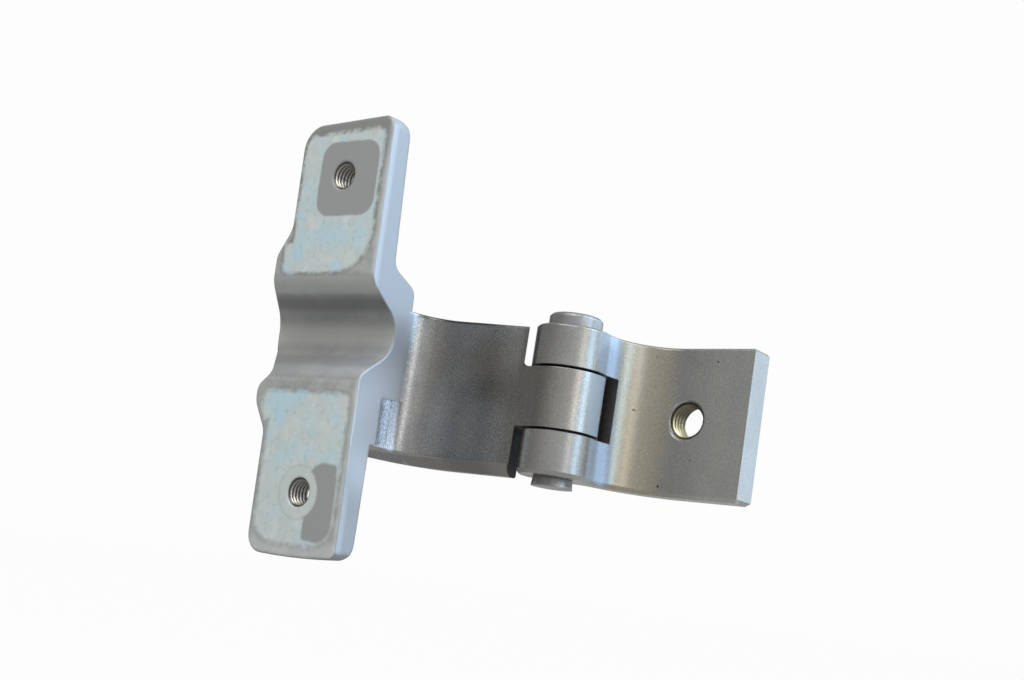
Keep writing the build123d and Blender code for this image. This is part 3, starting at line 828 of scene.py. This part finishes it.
@dataclass(frozen=True)
class ThreadMetal:
    """Metal of cut turns: bright on the crests, with painted shade in the roots and on each hole's upper
    side.
    """

    name: str
    crest: Colour
    # Colour of the painted shade in the roots and on the upper side.
    root: Colour
    upper_side_shade: float
    root_share: Span = (0.1, 0.55)
    upper_side_shade_mm: Span = (-1.0, 2.0)
    rim_mm: Span = (6.0, 7.0)
    gloss: Span = (0.24, 0.4)
    metallic: float = 0.6
    grain: Triple = (0.3, 3.0, 0.6)
    depth_mm: float = 0.01

    def build(self, cut: ThreadCut, way: Triple, *points_mm: Triple) -> bpy.types.Material:
        """Make the material.

        Args:
            cut: Sizes of the thread.
            way: Direction of the holes, one long.
            points_mm: A point on the axis of each hole.

        Returns:
            The turns' material.
        """
        bench = NodeBench(self.name)
        away = bench.least(*[bench.about_line(point, way)[1] for point in points_mm])
        crest = cut.wall_radius_mm - cut.depth_mm
        # Painted shade: darker in the roots of the turns and on each hole's upper side.
        deep = bench.beyond(away, *(crest + cut.depth_mm * share for share in self.root_share))
        for _, _, middle in points_mm:
            above = Fade(Z, *(middle + offset for offset in self.upper_side_shade_mm), 0.0, self.upper_side_shade)
            below_rim = Fade(Z, *(middle + offset for offset in self.rim_mm), 1.0, 0.0)
            deep = bench.most(deep, bench.area(above, below_rim))
        grain = bench.noise(*self.grain)
        return bench.finish(
            base_color=bench.blend(deep, self.crest, self.root),
            metallic=self.metallic,
            roughness=bench.ease(grain, *NOISE_LEVELS, *self.gloss),
            bump=grain,
            depth=self.depth_mm * MM,
        )


def dress(obj: bpy.types.Object, material: bpy.types.Material) -> None:
    """Put one material in every slot of an object.

    Args:
        obj: The object.
        material: Its new material.
    """
    if not obj.data.materials:
        obj.data.materials.append(material)
    for index in range(len(obj.data.materials)):
        obj.data.materials[index] = material


class ThreadMaker:
    """Node tree that turns a flat grid into the wall of an internal thread along X."""

    LABELS = {
        "Float": ("Wall Radius", "Pitch", "Depth", "Length", "Lead In", "Skin"),
        "Int": ("Steps Along", "Steps Around"),
        "Material": ("Metal",),
    }
    FLANK_GAIN = 1.3
    FLANK_SHIFT = -0.12
    WELD_MM = 0.002

    def __init__(self) -> None:
        """Build the tree once for all three holes."""
        self.tree = bpy.data.node_groups.new("internal_thread", "GeometryNodeTree")
        self.sockets: dict[str, str] = {}
        for kind, labels in self.LABELS.items():
            for label in labels:
                kind_name = "NodeSocket" + kind
                socket = self.tree.interface.new_socket(label, in_out="INPUT", socket_type=kind_name)
                self.sockets[label] = socket.identifier
        self.tree.interface.new_socket("Geometry", in_out="OUTPUT", socket_type="NodeSocketGeometry")
        self.wiring = Wiring(self.tree)
        self.given = self.wiring.add("NodeGroupInput").outputs
        self._close(self._turns())

    def _turns(self) -> Socket:
        """Grid, and the wave that bends it into turns.

        Returns:
            The wall as a single skin.
        """
        wiring, given, calc = self.wiring, self.given, self.wiring.calc
        sizes = {"Size X": 1.0, "Size Y": 1.0}
        steps = {"Vertices X": given["Steps Along"], "Vertices Y": given["Steps Around"]}
        grid = wiring.add("GeometryNodeMeshGrid", sizes | steps)
        place = wiring.add("GeometryNodeInputPosition").outputs[0]
        split = wiring.add("ShaderNodeSeparateXYZ", (place,)).outputs
        along = calc("MULTIPLY", calc("ADD", split[0], 0.5), given["Length"])
        turn = calc("ADD", split[1], 0.5)
        phase = calc("SUBTRACT", calc("DIVIDE", along, given["Pitch"]), turn)
        wave = calc("MULTIPLY", calc("PINGPONG", phase, 0.5), 2.0)
        flank = calc("MULTIPLY_ADD", wave, self.FLANK_GAIN, self.FLANK_SHIFT)
        flank = wiring.least(wiring.most(flank, 0.0), 1.0)
        left = calc("SUBTRACT", given["Length"], along)
        edge = wiring.least(calc("DIVIDE", wiring.least(along, left), given["Lead In"]), 1.0)
        radius = calc("SUBTRACT", given["Wall Radius"], wiring.times(flank, edge, given["Depth"]))
        angle = calc("MULTIPLY", turn, 2 * math.pi)
        across = [calc("MULTIPLY", radius, calc(part, angle)) for part in ("COSINE", "SINE")]
        point = wiring.add("ShaderNodeCombineXYZ", (along, *across)).outputs[0]
        shape = {"Geometry": grid.outputs["Mesh"], "Position": point}
        return wiring.add("GeometryNodeSetPosition", shape).outputs[0]

    def _close(self, turns: Socket) -> None:
        """Thicken the skin to a closed shell and give it its material.

        Args:
            turns: The wall as a single skin.
        """
        wiring, given = self.wiring, self.given
        inner = wiring.add("GeometryNodeFlipFaces", (turns,))
        skin = {"Mesh": turns, "Offset Scale": given["Skin"], "Individual": False}
        shell = wiring.add("GeometryNodeExtrudeMesh", skin, mode="FACES")
        both = wiring.add("GeometryNodeJoinGeometry")
        for part in (shell.outputs["Mesh"], inner.outputs[0]):
            self.tree.links.new(part, both.inputs[0])
        weld = wiring.add("GeometryNodeMergeByDistance", {0: both.outputs[0], "Distance": self.WELD_MM * MM})
        real = wiring.add("GeometryNodeRealizeInstances", (weld.outputs[0],))
        paint = {"Geometry": real.outputs[0], "Material": given["Metal"]}
        painted = wiring.add("GeometryNodeSetMaterial", paint)
        wiring.add("NodeGroupOutput", (painted.outputs[0],))

    def cut(self, name: str, place: Matrix, metal: bpy.types.Material, **sizes: float) -> bpy.types.Object:
        """Make the wall of one thread as a plain mesh.

        Args:
            name: Name of the piece.
            place: Puts the start of the turns at the hole's mouth and their +X along the hole.
            metal: Material of the turns.
            sizes: The tree's named sizes.

        Returns:
            The piece.
        """
        host = bpy.data.objects.new(name + "_host", bpy.data.meshes.new(name + "_host"))
        bpy.context.scene.collection.objects.link(host)
        modifier = host.modifiers.new("thread", "NODES")
        modifier.node_group = self.tree
        for label, value in sizes.items():
            modifier[self.sockets[label.replace("_", " ").title()]] = value
        modifier[self.sockets["Metal"]] = metal
        bpy.context.view_layer.update()
        graph = bpy.context.evaluated_depsgraph_get()
        mesh = bpy.data.meshes.new_from_object(host.evaluated_get(graph), depsgraph=graph)
        host.modifiers.remove(modifier)
        bpy.data.objects.remove(host)
        mesh.name = name
        mesh.transform(place)
        mesh.polygons.foreach_set("use_smooth", [True] * len(mesh.polygons))
        piece = bpy.data.objects.new(name, mesh)
        bpy.context.scene.collection.objects.link(piece)
        return piece


@dataclass(frozen=True)
class ThreadedHole:
    """One threaded hole of the hinge: where it opens and how it is cut."""

    name: str
    body: Body
    slot: str
    mouth_mm: Triple
    cut: ThreadCut
    lean_deg: float = 0.0

    def build(self, maker: ThreadMaker, metal: bpy.types.Material) -> bpy.types.Object:
        """Cut the thread and let it ride on its body.

        Args:
            maker: The shared thread tree.
            metal: Material of the turns.

        Returns:
            The finished piece.
        """
        cut = self.cut
        lean = Matrix.Rotation(math.radians(self.lean_deg), 4, "Y")
        piece = maker.cut(
            self.name,
            Matrix.Translation(Vector(self.mouth_mm) * MM) @ lean,
            metal,
            wall_radius=cut.wall_radius_mm * MM,
            pitch=cut.pitch_mm * MM,
            depth=cut.depth_mm * MM,
            length=cut.length_mm * MM,
            lead_in=cut.lead_in_mm * MM,
            skin=cut.skin_mm * MM,
            steps_along=int(cut.length_mm / cut.pitch_mm * cut.steps_in_turn) + 2,
            steps_around=cut.steps_around,
        )
        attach(piece, self.body.value)
        return piece


@dataclass(frozen=True)
class Bracket:
    """Mounting pad, arm and knuckle with the two threads of the pad."""

    spacing_mm: float = 90.0
    start_mm: float = 0.25
    thread: ThreadCut = ThreadCut(3.98, 1.25, 0.68, 7.59)
    # Bright steel crests, painted shade in the roots and on the hole's upper side.
    metal: ThreadMetal = ThreadMetal(
        "thread_steel", from_screen(200, 197, 189), from_screen(84, 79, 73), 0.55
    )

    def build(self, maker: ThreadMaker) -> list[bpy.types.Object]:
        """Dress the bracket and cut its threads.

        Args:
            maker: The shared thread tree.

        Returns:
            The pieces made here.
        """
        dress(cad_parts["pad_bracket"], BracketFinish().build())
        half = self.spacing_mm / 2
        steel = self.metal.build(self.thread, (1.0, 0.0, 0.0), (0.0, 0.0, half), (0.0, 0.0, -half))
        pieces = []
        for label, height in (("upper", half), ("lower", -half)):
            mouth = (self.start_mm, 0.0, height)
            hole = ThreadedHole(f"pad_thread_{label}", Body.BRACKET, "bracket_coat", mouth, self.thread)
            pieces.append(hole.build(maker, steel))
        return pieces


@dataclass(frozen=True)
class ClevisLeaf:
    """The swinging leaf with its plated thread."""

    mouth_mm: Triple = (45.80, -93.1, -13.87)
    thread: ThreadCut = ThreadCut(4.98, 1.5, 0.8, 7.2)
    # Bright zinc crests, painted shade in the roots and on the hole's upper side.
    metal: ThreadMetal = ThreadMetal(
        "thread_zinc", from_screen(222, 214, 178), from_screen(44, 38, 27), 0.8
    )

    def build(self, maker: ThreadMaker) -> list[bpy.types.Object]:
        """Dress the leaf and cut its thread.

        Args:
            maker: The shared thread tree.

        Returns:
            The pieces made here.
        """
        dress(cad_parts["clevis_leaf"], LeafFinish().build())
        lean = math.radians(AXIS_LEAN_DEG)
        zinc = self.metal.build(self.thread, (math.cos(lean), 0.0, -math.sin(lean)), self.mouth_mm)
        hole = ThreadedHole(
            "leaf_thread_turns", Body.LEAF, "leaf_coat", self.mouth_mm, self.thread, AXIS_LEAN_DEG
        )
        return [hole.build(maker, zinc)]


@dataclass(frozen=True)
class PinAndBushes:
    """The riveted pin and the two flanged bushes in the knuckle."""

    pin: PlainMetal = PlainMetal(
        "pin_coat", from_screen(146, 146, 144), from_screen(134, 133, 131), (0.28, 0.38), worn_edge_mm=0.8
    )
    bush: PlainMetal = PlainMetal(
        "bush_metal", from_screen(70, 66, 60), from_screen(44, 41, 38), (0.45, 0.6)
    )

    def build(self) -> None:
        """Dress the three turned pieces."""
        dress(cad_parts["hinge_pin"], self.pin.build())
        bush = self.bush.build()
        for name in ("bush_upper", "bush_lower"):
            dress(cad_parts[name], bush)


@dataclass(frozen=True)
class SoftLamp:
    """One large soft lamp that looks at the hinge."""

    name: str
    plan_deg: float
    height_deg: float
    distance: float
    width: float
    tall: float
    power: float
    colour: Colour

    def build(self, target: Triple) -> None:
        """Hang the lamp.

        Args:
            target: The point that it looks at.
        """
        data = bpy.data.lights.new(self.name, "AREA")
        data.shape = "RECTANGLE"
        data.size = self.width
        data.size_y = self.tall
        data.energy = self.power
        data.color = self.colour
        lamp = bpy.data.objects.new(self.name, data)
        plan, height = math.radians(self.plan_deg), math.radians(self.height_deg)
        level = math.cos(height)
        out = Vector((math.cos(plan) * level, math.sin(plan) * level, math.sin(height)))
        lamp.location = Vector(target) + out * self.distance
        lamp.rotation_euler = out.to_track_quat("Z", "Y").to_euler()
        bpy.context.scene.collection.objects.link(lamp)


@dataclass(frozen=True)
class PhotoCamera:
    """Camera that stands where the photograph was taken from."""

    azimuth_deg: float = -52.64
    elevation_deg: float = -7.65
    roll_deg: float = 7.23
    distance: float = 0.42083
    target: Triple = (0.02487, -0.04782, 0.00313)
    focal_px: float = 1538.39
    picture_px: float = 1024.0
    sensor_mm: float = 36.0
    nearest: float = 0.01

    def build(self) -> None:
        """Stand the camera in the scene."""
        azimuth, elevation = math.radians(self.azimuth_deg), math.radians(self.elevation_deg)
        roll = math.radians(self.roll_deg)
        level = math.cos(elevation)
        back = Vector((math.sin(azimuth) * level, -math.cos(azimuth) * level, math.sin(elevation)))
        right = (-back).cross(Vector((0, 0, 1))).normalized()
        up = right.cross(-back)
        turned_right = math.cos(roll) * right + math.sin(roll) * up
        turned_up = math.cos(roll) * up - math.sin(roll) * right
        placed = Matrix((turned_right, turned_up, back)).transposed().to_4x4()
        placed.translation = Vector(self.target) + self.distance * back
        data = bpy.data.cameras.new("camera")
        data.sensor_width = self.sensor_mm
        data.lens = self.focal_px * self.sensor_mm / self.picture_px
        data.clip_start = self.nearest
        camera = bpy.data.objects.new("camera", data)
        camera.matrix_world = placed
        bpy.context.scene.collection.objects.link(camera)
        bpy.context.scene.camera = camera


@dataclass(frozen=True)
class Studio:
    """Pale floor, white surroundings, lamps and the camera."""

    floor_height: float = -0.26
    floor_half: float = 6.0
    floor_glow: float = 0.97
    floor_white: float = 1.0
    floor_dark_share: float = 0.6
    floor_paper: Colour = (0.5, 0.47, 0.43)
    world_white: float = 0.98
    world_dark_share: float = 0.82
    ambient: Colour = (0.345, 0.345, 0.342)
    dark_plan_deg: float = 95.0
    dark_from: float = -0.87
    dark_to: float = 0.95
    dark_power: float = 0.8
    target: Triple = (0.025, -0.045, 0.0)
    camera: PhotoCamera = PhotoCamera()
    lamps: tuple[SoftLamp, ...] = (
        SoftLamp("window", 276.0, 10.0, 1.1, 0.28, 1.3, 4.8, (0.40, 0.70, 1.0)),
        SoftLamp("sky", 325.0, 8.0, 1.3, 1.3, 1.5, 10.5, (0.53, 0.76, 1.0)),
        SoftLamp("key", 250.0, 12.0, 1.2, 0.26, 1.3, 1.9, (1.0, 0.99, 0.96)),
        SoftLamp("skylight", 286.0, 45.0, 1.2, 1.1, 1.1, 18.0, (0.60, 0.77, 1.0)),
        SoftLamp("fill", 188.0, 55.0, 1.3, 1.0, 1.0, 14.0, (1.0, 1.0, 0.99)),
    )

    def _shown(self, wiring: Wiring, path: bpy.types.Node) -> Socket:
        """Mask of the rays that are shown the white: to the eye, mirrored and let through."""
        return wiring.most(*[path.outputs[kind] for kind in SEEN_RAYS])

    def _strength(
        self, wiring: Wiring, path: bpy.types.Node, way: str, white: float, share: float
    ) -> Socket:
        """Strength of the white surroundings.

        Args:
            wiring: Wiring of the world's or the floor's tree.
            path: Its Light Path node.
            way: Output of its Texture Coordinate node that gives the direction from the hinge.
            white: Strength of the white.
            share: How much of the white is missing at the middle of the room's unlit side.

        Returns:
            The strength: full to the eye, and in metal less towards the unlit side.
        """
        direction = wiring.vector("NORMALIZE", wiring.add("ShaderNodeTexCoord").outputs[way])
        plan = math.radians(self.dark_plan_deg)
        facing = wiring.vector("DOT_PRODUCT", direction, (math.cos(plan), math.sin(plan), 0.0))
        level = wiring.add("ShaderNodeMapRange", (facing, self.dark_from, self.dark_to)).outputs[0]
        steeper = wiring.calc("POWER", level, self.dark_power)
        missing = wiring.times(steeper, path.outputs["Is Glossy Ray"])
        return wiring.calc("MULTIPLY_ADD", missing, -white * share, white)

    def _floor(self) -> None:
        """Lay the floor: white to the eye and in mirrors, and dimmed a little by the hinge's shadow."""
        half, z = self.floor_half, self.floor_height
        mesh = bpy.data.meshes.new("floor")
        corners = [(-half, -half, z), (half, -half, z), (half, half, z), (-half, half, z)]
        mesh.from_pydata(corners, [], [(0, 1, 2, 3)])
        floor = bpy.data.objects.new("floor", mesh)
        bpy.context.scene.collection.objects.link(floor)
        material = bpy.data.materials.new("floor_paper")
        material.use_nodes = True
        wiring = Wiring(material.node_tree)
        path = wiring.add("ShaderNodeLightPath")
        seen = wiring.times(self._shown(wiring, path), self.floor_glow)
        paper = wiring.add("ShaderNodeBsdfDiffuse", {"Color": self.floor_paper})
        strength = self._strength(wiring, path, "Object", self.floor_white, self.floor_dark_share)
        white = wiring.add("ShaderNodeEmission", {"Strength": strength})
        mix = wiring.add("ShaderNodeMixShader", (seen, paper.outputs[0], white.outputs[0]))
        wiring.add("ShaderNodeOutputMaterial", (mix.outputs[0],))
        mesh.materials.append(material)

    def _world(self) -> None:
        """White behind the hinge and in its metal, soft grey light from all round on it."""
        world = bpy.data.worlds.new("studio")
        bpy.context.scene.world = world
        world.use_nodes = True
        wiring = Wiring(world.node_tree)
        path = wiring.add("ShaderNodeLightPath")
        soft = wiring.add("ShaderNodeBackground", {"Color": self.ambient})
        strength = self._strength(wiring, path, "Generated", self.world_white, self.world_dark_share)
        white = wiring.add("ShaderNodeBackground", {"Color": (1.0, 1.0, 1.0), "Strength": strength})
        shown = self._shown(wiring, path)
        mix = wiring.add("ShaderNodeMixShader", (shown, soft.outputs[0], white.outputs[0]))
        wiring.add("ShaderNodeOutputWorld", (mix.outputs[0],))

    def build(self) -> None:
        """Set up the whole studio."""
        self._floor()
        self._world()
        for lamp in self.lamps:
            lamp.build(self.target)
        self.camera.build()
        bpy.context.scene.view_settings.view_transform = "Standard"


def main() -> None:
    """Build the hinge's looks in order and log the face count of each cut thread."""
    logging.basicConfig(level=logging.INFO, format="%(name)s: %(message)s")
    maker = ThreadMaker()
    for builder in (Bracket(), ClevisLeaf()):
        for piece in builder.build(maker):
            LOG.info("%s: %d faces", piece.name, len(piece.data.polygons))
    PinAndBushes().build()
    Studio().build()


if __name__ == "__main__":
    main()
